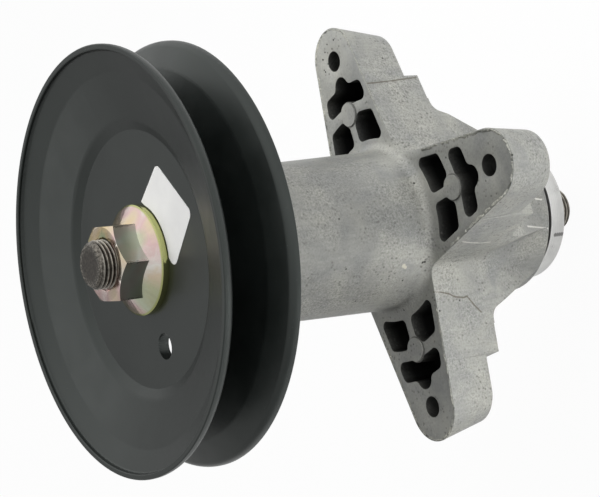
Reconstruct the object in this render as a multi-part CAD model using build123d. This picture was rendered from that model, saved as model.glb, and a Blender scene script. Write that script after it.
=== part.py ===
from build123d import *
import os
from math import radians, tan

# Mower deck spindle. A pressed belt pulley is clamped on a shaft that turns on two sealed ball
# bearings in a die-cast housing with four bolt-down arms.
# Millimetres. Z is the spindle axis with the pulley on top, and z = 0 is the deck the arm tips sit on.

# Housing: arms
arm_count = 4
bolt_circle_diameter = 129.5
bolt_hole_diameter = 7.4
arm_tip_radius = 12.1
arm_root_radius = 23.9
arm_corner_radius = 6.0
arm_thickness = 19.1
arm_draft_deg = 3.8
tip_draft_deg = 11.6
arm_edge_round = 1.3

# Housing: the thicker heel of each arm and the wedge below it
heel_past_stud = 8.4
heel_depth = 4.5
heel_draft_deg = 1.0
wedge_overhang = 10.0
wedge_width_top = 38.0
wedge_inset_bottom = 2.4
wedge_width_bottom = 26.0
wedge_root_radius = 4.5
wedge_end_height = 2.0

# Housing: cored pockets in the top of each arm
stud_to_bolt = 20.7
stud_diameter = 8.4
stud_height = 0.6
stud_land = 0.4
pocket_depth = 15.0
pocket_draft_deg = 2.0
pocket_wall = 3.2
pocket_corner_radius = 2.2
rib_thickness = 3.4
cross_rib_inner = 0.8
cross_rib_outer = 3.0
barrel_land = 4.4
bean_width = 7.4
bean_nose_radius = 3.9
bean_corner_radius = 2.6

# Housing: barrel above the arms and boss below the deck
barrel_height = 79.0
barrel_wall = 2.9
barrel_draft_deg = 1.15
barrel_foot_radius = 3.5
boss_depth = 34.3
boss_wall = 4.2
bore_shoulder = 3.0
mouth_chamfer = 0.8

# Ball bearings
bearing_bore = 20.0
bearing_outside = 47.0
bearing_width = 14.0
bearing_recess_top = 2.0
bearing_recess_bottom = 1.5
ring_edge_chamfer = 0.8
ball_diameter = 7.6
ball_count = 8
race_clearance = 0.25
race_depth = 1.0
seal_thickness = 1.2
seal_inset = 0.4
seal_lip_gap = 0.4
cage_wall = 2.6
cage_base = 0.8
cage_horn = 1.2
cage_pocket_gap = 0.2

# Shaft
thread_diameter = 15.875
thread_chamfer = 1.2
thread_above_nut = 5.0
seat_step = 0.5
seat_flat_cut = 1.5
seat_below_nut = 0.6
collar_diameter = 48.0
collar_thickness = 6.5
collar_gap = 4.6
collar_chamfer = 0.6
hub_wall = 3.0
stub_length = 18.3

# Spacers on the shaft
bearing_spacer_wall = 3.4
pulley_spacer_wall = 4.0
pulley_spacer_length = 16.1

# Pulley: two pressed sheaves back to back
pulley_diameter = 139.7
sheet_thickness = 1.9
web_diameter = 85.2
step_height = 2.1
step_run = 3.6
flank_angle_deg = 16.5
mouth_width = 8.35
mouth_angle_deg = 25.0
lip_rise = 2.85
step_foot_bend = 2.2
step_head_bend = 3.6
mouth_bend = 6.0
lip_bend = 2.9
rim_edge_round = 0.45
web_hole_diameter = 8.5
web_hole_radius = 29.7
web_hole_angle_deg = 182.0

# Flange nut
nut_across_flats = 23.8
nut_height = 13.7
nut_chamfer_deg = 30.0
nut_turn_deg = 12.6
flange_diameter = 36.0
flange_rim = 2.1
flange_cone_rise = 3.6
nut_bore_chamfer = 0.8

# Clearances: press seats, slip fits on the shaft and the nut's thread
press_gap = 0.1
slip_gap = 0.1

# Heights of the stack, from the deck plane up and down
arm_top = arm_thickness
barrel_top = arm_top + barrel_height
boss_end = -boss_depth
upper_bearing_top = barrel_top - bearing_recess_top
upper_bearing_low = upper_bearing_top - bearing_width
lower_bearing_low = boss_end + bearing_recess_bottom
lower_bearing_top = lower_bearing_low + bearing_width
sheave_joint = upper_bearing_top + pulley_spacer_length + sheet_thickness
nut_seat = sheave_joint + sheet_thickness
nut_top = nut_seat + nut_height
shaft_top = nut_top + thread_above_nut
collar_top = boss_end - collar_gap
collar_low = collar_top - collar_thickness
shaft_end = collar_low - stub_length

# Radii shared by pieces that fit each other
shaft_radius = bearing_bore / 2
thread_radius = thread_diameter / 2
seat_radius = shaft_radius - seat_step
seat_flat = seat_radius - seat_flat_cut
ring_bore_radius = shaft_radius + slip_gap
ring_outer_radius = bearing_outside / 2
seat_bore_radius = ring_outer_radius + press_gap
barrel_top_radius = seat_bore_radius + barrel_wall
barrel_foot = barrel_top_radius + barrel_height * tan(radians(barrel_draft_deg))
boss_radius = seat_bore_radius + boss_wall
core_radius = seat_bore_radius - bore_shoulder
pitch_radius = (ring_bore_radius + ring_outer_radius) / 2
ball_radius = ball_diameter / 2
race_radius = ball_radius + race_clearance
inner_land_radius = pitch_radius - race_radius + race_depth
outer_land_radius = pitch_radius + race_radius - race_depth
bolt_radius = bolt_circle_diameter / 2
stud_x = bolt_radius - stud_to_bolt
stud_radius = stud_diameter / 2
arm_lean = (arm_root_radius - arm_tip_radius) / bolt_radius
arm_angles = [360 / arm_count * i for i in range(arm_count)]


def tube(outer, inner, low, high):
    """A plain tube about Z between two heights."""
    ring = Circle(outer) - Circle(inner)
    return extrude(Pos(0, 0, low) * ring, amount=high - low)


def turned(points):
    """A solid of revolution about Z from an outline of radius and height."""
    outline = make_face(Plane.XZ * Polyline(*points, close=True))
    return revolve(outline, Axis.Z)


def around(shape):
    """The shape repeated at every arm."""
    return [Rot(0, 0, angle) * shape for angle in arm_angles]


def arm_plan(root_radius, tip_x, tip_radius):
    """Plan of one tapered arm along X, from a circle about the axis to its round tip."""
    tip = Pos(tip_x, 0) * Circle(tip_radius)
    return make_hull(tip.edges() + Circle(root_radius).edges())


def cross_plan():
    """Plan of all the arms together, with rounded inside corners."""
    plan = Sketch() + around(arm_plan(arm_root_radius, bolt_radius, arm_tip_radius))
    inside_corners = plan.vertices().sort_by_distance((0, 0, 0))[:arm_count]
    return fillet(inside_corners, arm_corner_radius)


def arm():
    """One arm, drawn in from its top face down to the deck, more so at the tip than at the sides."""
    side_inset = arm_thickness * tan(radians(arm_draft_deg))
    tip_inset = arm_thickness * tan(radians(tip_draft_deg))
    tip_shift = (tip_inset - side_inset) / (1 - arm_lean)
    deck_tip_radius = arm_tip_radius - side_inset + tip_shift * arm_lean
    deck = arm_plan(arm_root_radius - side_inset, bolt_radius - tip_shift, deck_tip_radius)
    top = Pos(0, 0, arm_top) * arm_plan(arm_root_radius, bolt_radius, arm_tip_radius)
    body = loft([deck.face(), top.face()], ruled=True)
    return fillet(body.faces().sort_by(Axis.Z)[0].edges(), arm_edge_round)


def wedge_bar():
    """A bar through the boss whose ends slope from the heels almost to the boss's end, with rounded roots."""
    top = boss_radius + wedge_overhang
    end = boss_radius - wedge_inset_bottom
    low = boss_end + wedge_end_height
    root = top + wedge_root_radius
    slope = FilletPolyline((root, -heel_depth), (top, -heel_depth), (end, low), radius=wedge_root_radius)
    rest = Polyline((end, low), (0, low), (0, 0), (root, 0), (root, -heel_depth))
    half = make_face(Plane.XZ * (slope + rest))
    bar = extrude(half + mirror(half, Plane.YZ), amount=wedge_width_top, both=True)
    half_top = wedge_width_top / 2
    half_end = wedge_width_bottom / 2
    right = [(half_top, 0), (half_top, -heel_depth), (half_end, low)]
    left = [(-y, z) for y, z in reversed(right)]
    section = make_face(Plane.YZ * Polyline(*right, *left, close=True))
    return bar & extrude(section, amount=root, both=True)


def barrel():
    """The drafted barrel above the arms, with a rounded foot."""
    foot_edge = barrel_foot + barrel_foot_radius
    foot_top = arm_top + barrel_foot_radius
    foot_arc = RadiusArc((foot_edge, arm_top), (barrel_foot, foot_top), barrel_foot_radius)
    base = Polyline((0, arm_top), (foot_edge, arm_top))
    rest = Polyline((barrel_foot, foot_top), (barrel_top_radius, barrel_top), (0, barrel_top), (0, arm_top))
    return revolve(make_face(Plane.XZ * (base + foot_arc + rest)), Axis.Z)


def arm_half_width(x):
    """Half the width of an arm's plan at a distance from the axis."""
    return (arm_root_radius - x * arm_lean) / (1 - arm_lean**2) ** 0.5


def core_strip(inner_edge):
    """Plan of one half of an arm inside its side wall, from a line along the arm outwards."""
    return Polygon(
        (0, inner_edge),
        (bolt_radius, inner_edge),
        (bolt_radius, arm_half_width(bolt_radius) - pocket_wall),
        (0, arm_half_width(0) - pocket_wall),
        align=None,
    )


def inner_pocket():
    """Plan of the pocket between the barrel, the centre rib, the stud and one side wall."""
    near = barrel_foot + barrel_land
    far = stud_x - cross_rib_inner
    outline = (Circle(far) - Circle(near)) & core_strip(rib_thickness / 2)
    outline = outline - Pos(stud_x, 0) * Circle(stud_radius + stud_land)
    return fillet(outline.vertices(), pocket_corner_radius)


def bean_pocket():
    """Plan of the pocket across the arm between the stud and the bolt hole."""
    near = stud_x + cross_rib_outer
    far = near + bean_width
    strip = core_strip(0)
    outline = (Circle(far) - Circle(near)) & (strip + mirror(strip, Plane.XZ))
    outline = outline + Pos(far, 0) * Circle(bean_nose_radius)
    outline = outline - Pos(stud_x, 0) * Circle(stud_radius + stud_land)
    return fillet(outline.vertices(), bean_corner_radius)


def housing_bores():
    """What is bored out of the housing: a bearing seat at each end and a narrower core between."""
    return turned(
        [
            (0, boss_end),
            (seat_bore_radius + mouth_chamfer, boss_end),
            (seat_bore_radius, boss_end + mouth_chamfer),
            (seat_bore_radius, lower_bearing_top),
            (core_radius, lower_bearing_top),
            (core_radius, upper_bearing_low),
            (seat_bore_radius, upper_bearing_low),
            (seat_bore_radius, barrel_top - mouth_chamfer),
            (seat_bore_radius + mouth_chamfer, barrel_top),
            (0, barrel_top),
        ]
    )


def spindle_housing():
    """The die casting: arms with cored pockets, barrel, and the boss that passes through the deck."""
    down = (0, 0, -1)
    plan = cross_plan()
    heel_reach = 2 * (stud_x + heel_past_stud)
    heel_plan = Pos(0, 0, arm_top) * (plan & Rectangle(heel_reach, heel_reach))
    heel = extrude(heel_plan, amount=arm_thickness + heel_depth, dir=down, taper=heel_draft_deg)
    wedge = wedge_bar()
    wedges = (wedge + Rot(0, 0, 90) * wedge) & extrude(plan, amount=boss_depth, dir=down)
    boss = extrude(Pos(0, 0, boss_end) * Circle(boss_radius), amount=boss_depth)
    trimmed_barrel = barrel() & extrude(Pos(0, 0, arm_top) * plan, amount=barrel_height)
    stud = extrude(Pos(stud_x, 0, arm_top) * Circle(stud_radius), amount=stud_height)
    casting = heel + around(arm()) + wedges + boss + trimmed_barrel + around(stud)

    inner = inner_pocket()
    pockets = Sketch() + [inner, mirror(inner, Plane.XZ), bean_pocket()]
    cores = extrude(Pos(0, 0, arm_top) * pockets, amount=pocket_depth, dir=down, taper=pocket_draft_deg)
    bolt_hole = extrude(Pos(bolt_radius, 0, 0) * Circle(bolt_hole_diameter / 2), amount=arm_thickness)
    return casting - around(cores) - around(bolt_hole) - housing_bores()


def sheave():
    """One pressed half of the pulley: flat web, small step, belt flank, wider mouth and turned-out lip."""
    rim = pulley_diameter / 2
    web = web_diameter / 2
    flank_start = web + step_run
    mouth_start = rim - mouth_width
    mouth_height = step_height + (mouth_start - flank_start) * tan(radians(flank_angle_deg))
    lip_start = mouth_height + mouth_width * tan(radians(mouth_angle_deg))
    depth = lip_start + lip_rise
    flank = [(0, 0), (web, 0), (flank_start, step_height), (mouth_start, mouth_height)]
    bends = [step_foot_bend, step_head_bend, mouth_bend, lip_bend]
    groove_side = FilletPolyline(*flank, (rim, lip_start), (rim, depth), radius=bends)
    section = make_face(Plane.XZ * offset(groove_side, amount=sheet_thickness, side=Side.LEFT))
    section = fillet(section.vertices().group_by(Axis.Z)[-1], rim_edge_round)
    dish = revolve(section, Axis.Z)
    bore = Circle(seat_radius + slip_gap) & Rectangle(2 * (seat_flat + slip_gap), bearing_outside)
    hole_place = Rot(0, 0, web_hole_angle_deg) * Pos(web_hole_radius, 0)
    openings = bore + hole_place * Circle(web_hole_diameter / 2)
    return dish - extrude(openings, amount=depth)


def spindle_shaft():
    """Shaft with a threaded top, a two-flat pulley seat, bearing journals, a blade collar and a threaded stub."""
    hub_radius = shaft_radius + hub_wall
    collar_radius = collar_diameter / 2
    seat_end = nut_seat - seat_below_nut
    journal_end = sheave_joint - sheet_thickness - seat_step
    body = turned(
        [
            (0, shaft_end),
            (thread_radius - thread_chamfer, shaft_end),
            (thread_radius, shaft_end + thread_chamfer),
            (thread_radius, collar_low),
            (collar_radius - collar_chamfer, collar_low),
            (collar_radius, collar_low + collar_chamfer),
            (collar_radius, collar_top - collar_chamfer),
            (collar_radius - collar_chamfer, collar_top),
            (hub_radius, collar_top),
            (hub_radius, lower_bearing_low),
            (shaft_radius, lower_bearing_low),
            (shaft_radius, journal_end),
            (thread_radius, journal_end),
            (thread_radius, shaft_top - thread_chamfer),
            (thread_radius - thread_chamfer, shaft_top),
            (0, shaft_top),
        ]
    )
    flats = Circle(seat_radius) & Rectangle(2 * seat_flat, bearing_outside)
    return body + extrude(Pos(0, 0, journal_end) * flats, amount=seat_end - journal_end)


def flange_nut():
    """Hexagon nut with a conical flange and chamfered corners."""
    corner_radius = nut_across_flats / 3**0.5
    flat_radius = nut_across_flats / 2
    bore_radius = thread_radius + slip_gap
    flange_radius = flange_diameter / 2
    hexagon = Rot(0, 0, nut_turn_deg) * RegularPolygon(corner_radius, 6)
    prism = extrude(Pos(0, 0, nut_seat) * hexagon, amount=nut_height)
    corner_drop = (corner_radius - flat_radius) * tan(radians(nut_chamfer_deg))
    envelope = turned(
        [
            (0, nut_seat),
            (corner_radius, nut_seat),
            (corner_radius, nut_top - corner_drop),
            (flat_radius, nut_top),
            (0, nut_top),
        ]
    )
    flange = turned(
        [
            (0, nut_seat),
            (flange_radius, nut_seat),
            (flange_radius, nut_seat + flange_rim),
            (flat_radius, nut_seat + flange_rim + flange_cone_rise),
            (0, nut_seat + flange_rim + flange_cone_rise),
        ]
    )
    bore = turned(
        [
            (0, nut_seat),
            (bore_radius, nut_seat),
            (bore_radius, nut_top - nut_bore_chamfer),
            (bore_radius + nut_bore_chamfer, nut_top),
            (0, nut_top),
        ]
    )
    return (prism & envelope) + flange - bore


def bearing_pieces(middle):
    """The pieces of one sealed ball bearing about a mid-height, by name."""
    half = bearing_width / 2
    groove = revolve(Plane.XZ * Pos(pitch_radius, 0) * Circle(race_radius), Axis.Z)
    inner_edge = ring_bore_radius + ring_edge_chamfer
    outer_edge = ring_outer_radius - ring_edge_chamfer
    inner = turned(
        [
            (inner_edge, -half),
            (inner_land_radius, -half),
            (inner_land_radius, half),
            (inner_edge, half),
            (ring_bore_radius, half - ring_edge_chamfer),
            (ring_bore_radius, ring_edge_chamfer - half),
        ]
    )
    outer = turned(
        [
            (outer_land_radius, -half),
            (outer_edge, -half),
            (ring_outer_radius, ring_edge_chamfer - half),
            (ring_outer_radius, half - ring_edge_chamfer),
            (outer_edge, half),
            (outer_land_radius, half),
        ]
    )
    spots = PolarLocations(pitch_radius, ball_count)
    balls = [place * Sphere(ball_radius) for place in spots]
    cage_low = -ball_radius - cage_base
    cage = tube(pitch_radius + cage_wall / 2, pitch_radius - cage_wall / 2, cage_low, cage_horn)
    cage = cage - [place * Sphere(ball_radius + cage_pocket_gap) for place in spots]
    seal_outer = outer_land_radius - press_gap
    seal_inner = inner_land_radius + seal_lip_gap
    seal_top = half - seal_inset
    seal = tube(seal_outer, seal_inner, seal_top - seal_thickness, seal_top)
    pieces = {
        "outer_ring": outer - groove,
        "inner_ring": inner - groove,
        "balls": Compound(children=balls),
        "cage": cage,
        "top_seal": seal,
        "bottom_seal": mirror(seal, Plane.XY),
    }
    return {name: Pos(0, 0, middle) * piece for name, piece in pieces.items()}


half_pulley = sheave()
spacer_bore = shaft_radius + slip_gap
bearing_spacer_radius = spacer_bore + bearing_spacer_wall
pulley_spacer_radius = spacer_bore + pulley_spacer_wall
pulley_back = sheave_joint - sheet_thickness
nodes = {
    "spindle_housing": spindle_housing(),
    "spindle_shaft": spindle_shaft(),
    "flange_nut": flange_nut(),
    "front_sheave": Pos(0, 0, sheave_joint) * half_pulley,
    "rear_sheave": Pos(0, 0, sheave_joint) * mirror(half_pulley, Plane.XY),
    "bearing_spacer": tube(bearing_spacer_radius, spacer_bore, lower_bearing_top, upper_bearing_low),
    "pulley_spacer": tube(pulley_spacer_radius, spacer_bore, upper_bearing_top, pulley_back),
}
bearings = {
    "upper_bearing": (upper_bearing_low + upper_bearing_top) / 2,
    "lower_bearing": (lower_bearing_low + lower_bearing_top) / 2,
}
for bearing, middle in bearings.items():
    for piece, shape in bearing_pieces(middle).items():
        nodes[f"{bearing}_{piece}"] = shape

os.makedirs("parts", exist_ok=True)
for name, shape in nodes.items():
    export_step(shape, f"parts/{name}.step")
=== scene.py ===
"""Looks of a mower deck spindle: finishes, threads, label and studio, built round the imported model."""

import logging
import math
from abc import ABC, abstractmethod
from collections.abc import Callable, Iterable
from dataclasses import dataclass
from enum import Enum, IntEnum
from functools import reduce

import bmesh
import bpy
from mathutils import Matrix, Vector, noise


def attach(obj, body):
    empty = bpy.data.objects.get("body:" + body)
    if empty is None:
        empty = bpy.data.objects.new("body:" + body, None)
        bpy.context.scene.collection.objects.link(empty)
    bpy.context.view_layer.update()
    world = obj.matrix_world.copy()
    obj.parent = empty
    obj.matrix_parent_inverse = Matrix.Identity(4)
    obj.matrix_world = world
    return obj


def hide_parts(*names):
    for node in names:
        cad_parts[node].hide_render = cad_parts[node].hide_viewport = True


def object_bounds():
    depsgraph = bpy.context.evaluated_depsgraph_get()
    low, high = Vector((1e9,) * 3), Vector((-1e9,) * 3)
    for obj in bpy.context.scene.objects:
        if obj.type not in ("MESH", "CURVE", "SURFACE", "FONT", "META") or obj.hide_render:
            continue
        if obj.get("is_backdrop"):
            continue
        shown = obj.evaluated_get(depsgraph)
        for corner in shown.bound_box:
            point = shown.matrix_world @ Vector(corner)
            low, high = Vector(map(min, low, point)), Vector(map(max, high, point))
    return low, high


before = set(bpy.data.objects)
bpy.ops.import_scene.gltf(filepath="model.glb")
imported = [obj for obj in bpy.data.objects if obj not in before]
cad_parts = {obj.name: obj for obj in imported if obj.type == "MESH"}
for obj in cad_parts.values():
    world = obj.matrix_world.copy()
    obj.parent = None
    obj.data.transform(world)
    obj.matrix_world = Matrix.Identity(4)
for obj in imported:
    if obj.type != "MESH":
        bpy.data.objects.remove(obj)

LOG = logging.getLogger("spindle")
MM = 0.001
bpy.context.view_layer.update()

Colour = tuple[float, float, float]
Point = tuple[float, float, float]
Flat = tuple[float, float]
Line = tuple[Point, ...]
Spots = tuple[tuple[Point, float], ...]
Socket = bpy.types.NodeSocket
NUMBER_RESULTS = ("DISTANCE", "DOT_PRODUCT", "LENGTH")


class Body(str, Enum):
    """Names of the rigid bodies that pieces ride on."""

    HOUSING = "housing"
    ROTOR = "rotor"


class Skin(IntEnum):
    """Material slots of the casting."""

    WALL = 0
    EDGE = 1
    CORE = 2
    BOLT_HOLE = 3
    BORE = 4
    STUD = 5


class Turning(IntEnum):
    """Material slots of the shaft."""

    THREAD = 0
    JOURNAL = 1
    COLLAR = 2
    END_FACE = 3


class Graph:
    """A node tree with short calls for the nodes that this scene uses."""

    def __init__(self, tree: bpy.types.NodeTree) -> None:
        """Keeps the tree's nodes and links at hand.

        Args:
            tree: the node tree.
        """
        self.nodes = tree.nodes
        self.links = tree.links

    def add(self, kind: str, **settings: object) -> bpy.types.Node:
        """Adds a node and sets its properties.

        Args:
            kind: the node's type, without the leading ShaderNode.
            settings: properties of the node.

        Returns:
            The new node.
        """
        node = self.nodes.new("ShaderNode" + kind)
        for key, value in settings.items():
            setattr(node, key, value)
        return node

    def put(self, socket: Socket, value: object) -> None:
        """Links a socket, or sets its constant.

        Args:
            socket: the input to feed.
            value: an output socket, a number, a vector or a colour.
        """
        if isinstance(value, Socket):
            self.links.new(value, socket)
        elif isinstance(value, tuple) and socket.type == "RGBA":
            socket.default_value = (*value, 1.0)
        else:
            socket.default_value = value

    def math(self, operation: str, first: object, second: object = 0.0) -> Socket:
        """Arithmetic on two numbers.

        Args:
            operation: the Math node's operation.
            first: left value.
            second: right value.

        Returns:
            The result.
        """
        node = self.add("Math", operation=operation)
        self.put(node.inputs[0], first)
        self.put(node.inputs[1], second)
        return node.outputs[0]

    def vector(self, operation: str, first: object, second: object = (0.0, 0.0, 0.0)) -> Socket:
        """Arithmetic on two vectors.

        Args:
            operation: the Vector Math node's operation.
            first: left value.
            second: right value.

        Returns:
            The result, which is a number for a distance, a length or a dot product.
        """
        node = self.add("VectorMath", operation=operation)
        self.put(node.inputs[0], first)
        self.put(node.inputs[1], second)
        return node.outputs["Value" if operation in NUMBER_RESULTS else "Vector"]

    def share(self, value: Socket, low: float, high: float, ends: Flat = (0.0, 1.0)) -> Socket:
        """How far a value lies between two limits, clamped there.

        Args:
            value: the value.
            low: gives the first end.
            high: gives the second end.
            ends: the results at the two limits.

        Returns:
            The share.
        """
        node = self.add("MapRange")
        for key, fed in zip(("Value", "From Min", "From Max", "To Min", "To Max"), (value, low, high, *ends)):
            self.put(node.inputs[key], fed)
        return node.outputs["Result"]

    def most(self, masks: list[Socket]) -> Socket:
        """The greatest of some masks."""
        return reduce(lambda first, second: self.math("MAXIMUM", first, second), masks)

    def either(self, share: Socket, first: Socket, second: Socket) -> Socket:
        """Mixes two shaders.

        Args:
            share: how much of the second, from 0 to 1.
            first: the shader that shows at 0.
            second: the shader that shows at 1.

        Returns:
            The mixed shader.
        """
        node = self.add("MixShader")
        for socket, value in zip(node.inputs, (share, first, second)):
            self.put(socket, value)
        return node.outputs[0]


class Tree(Graph):
    """A material's nodes, with one shader and object coordinates in millimetres."""

    def __init__(self, name: str) -> None:
        """Starts the material.

        Args:
            name: the material's name.
        """
        self.material = bpy.data.materials.new(name)
        self.material.use_nodes = True
        super().__init__(self.material.node_tree)
        self.shader = self.nodes["Principled BSDF"]
        self.place = self.vector("MULTIPLY", self.add("TexCoord").outputs["Object"], (1 / MM, 1 / MM, 1 / MM))

    def set(self, **inputs: object) -> None:
        """Feeds the shader's inputs by name, with underscores for spaces.

        Args:
            inputs: socket names and what goes into them.
        """
        for key, value in inputs.items():
            self.put(self.shader.inputs[key.replace("_", " ")], value)

    def noise(self, per_mm: float, detail: float = 3.0, rough: float = 0.55, warp: float = 0.0,
              vector: Socket | None = None) -> Socket:
        """Noise between 0 and 1.

        Args:
            per_mm: how many features there are to a millimetre.
            detail: octaves.
            rough: how much the finer octaves count.
            warp: distortion.
            vector: coordinates, the object's own by default.

        Returns:
            The noise value.
        """
        node = self.add("TexNoise")
        self.put(node.inputs["Vector"], vector or self.place)
        for key, value in (("Scale", per_mm), ("Detail", detail), ("Roughness", rough), ("Distortion", warp)):
            node.inputs[key].default_value = value
        return node.outputs[0]

    def cells(self, per_mm: float) -> Socket:
        """Distance to the nearest of many scattered points, in cells.

        Args:
            per_mm: how many points there are to a millimetre.

        Returns:
            The distance.
        """
        node = self.add("TexVoronoi")
        self.put(node.inputs["Vector"], self.place)
        node.inputs["Scale"].default_value = per_mm
        return node.outputs["Distance"]

    def ramp(self, value: Socket, *stops: tuple[float, Colour | float]) -> Socket:
        """A colour or grey that changes with a value.

        Args:
            value: what drives it.
            stops: places from 0 to 1 with a colour or grey each.

        Returns:
            The colour.
        """
        node = self.add("ValToRGB")
        self.put(node.inputs[0], value)
        elements = node.color_ramp.elements
        while len(elements) < len(stops):
            elements.new(1.0)
        for element, (at, shade) in zip(elements, stops):
            element.position = at
            colour = shade if isinstance(shade, tuple) else (shade, shade, shade)
            element.color = (*colour, 1.0)
        return node.outputs[0]

    def blend(self, share: object, first: object, second: object, mode: str = "MIX") -> Socket:
        """Mixes two colours.

        Args:
            share: how much of the second, from 0 to 1.
            first: the colour below.
            second: the colour above.
            mode: the way they mix.

        Returns:
            The mixed colour.
        """
        node = self.add("Mix", data_type="RGBA", blend_type=mode)
        self.put(node.inputs[0], share)
        self.put(node.inputs[6], first)
        self.put(node.inputs[7], second)
        return node.outputs[2]

    def tint(self, colour: Socket, by: object) -> Socket:
        """A colour multiplied by another."""
        return self.blend(1.0, colour, by, "MULTIPLY")

    def bump(self, *layers: tuple[Socket, float]) -> Socket:
        """Surface relief from one or more heights.

        Args:
            layers: a height from 0 to 1 and its depth in millimetres, coarsest first.

        Returns:
            The bent normal.
        """
        normal = None
        for height, depth in layers:
            node = self.add("Bump")
            node.inputs["Distance"].default_value = depth * MM
            node.inputs["Strength"].default_value = 1.0
            self.put(node.inputs["Height"], height)
            if normal is not None:
                self.put(node.inputs["Normal"], normal)
            normal = node.outputs[0]
        return normal

    def axial(self, vector: Socket) -> Socket:
        """A vector's part along the spindle axis.

        Args:
            vector: the vector.

        Returns:
            The part.
        """
        node = self.add("SeparateXYZ")
        self.put(node.inputs[0], vector)
        return node.outputs[2]

    def height(self) -> Socket:
        """Height along the spindle axis in millimetres."""
        return self.axial(self.place)

    def facing(self) -> Socket:
        """How far a face looks up the spindle axis, from -1 to 1."""
        return self.axial(self.add("NewGeometry").outputs["True Normal"])

    def radius(self) -> Socket:
        """Distance from the spindle axis in millimetres."""
        return self.vector("LENGTH", self.vector("MULTIPLY", self.place, (1.0, 1.0, 0.0)))

    def discs(self, places: Iterable[tuple[Point, float, float]]) -> Socket:
        """One inside any of a few round places, 0 outside them.

        Args:
            places: each one's centre, with the radii where it starts to fade and where it ends, in millimetres.

        Returns:
            The mask.
        """
        return self.most([self.share(self.vector("DISTANCE", self.place, centre), outer, inner)
                          for centre, inner, outer in places])

    def spots(self, places: Spots) -> Socket:
        """One inside any of a few soft spots, 0 outside them."""
        return self.discs((centre, size * 0.6, size) for centre, size in places)

    def lines(self, points: Line, half_width: float) -> Socket:
        """One along a bent line that wanders in width, 0 away from it.

        Args:
            points: the line's corners in millimetres.
            half_width: half its greatest width.

        Returns:
            The mask.
        """
        wander = self.math("MULTIPLY", self.noise(0.7, 2.0), half_width)
        masks = []
        for start, end in zip(points, points[1:]):
            way = Vector(end) - Vector(start)
            offset = self.vector("SUBTRACT", self.place, start)
            along = self.share(self.vector("DOT_PRODUCT", offset, way / way.length_squared), 0.0, 1.0)
            gap = self.vector("DISTANCE", offset, self.vector("MULTIPLY", way, along))
            masks.append(self.share(self.math("ADD", gap, wander), half_width * 1.5, half_width * 0.8))
        return self.most(masks)


class Finish(ABC):
    """A surface finish that becomes a material."""

    name: str

    @abstractmethod
    def dress(self, tree: Tree) -> None:
        """Fills a new material's nodes.

        Args:
            tree: the nodes.
        """

    def material(self) -> bpy.types.Material:
        """Builds the finish's material.

        Returns:
            The material.
        """
        tree = Tree(self.name)
        self.dress(tree)
        return tree.material


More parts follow.
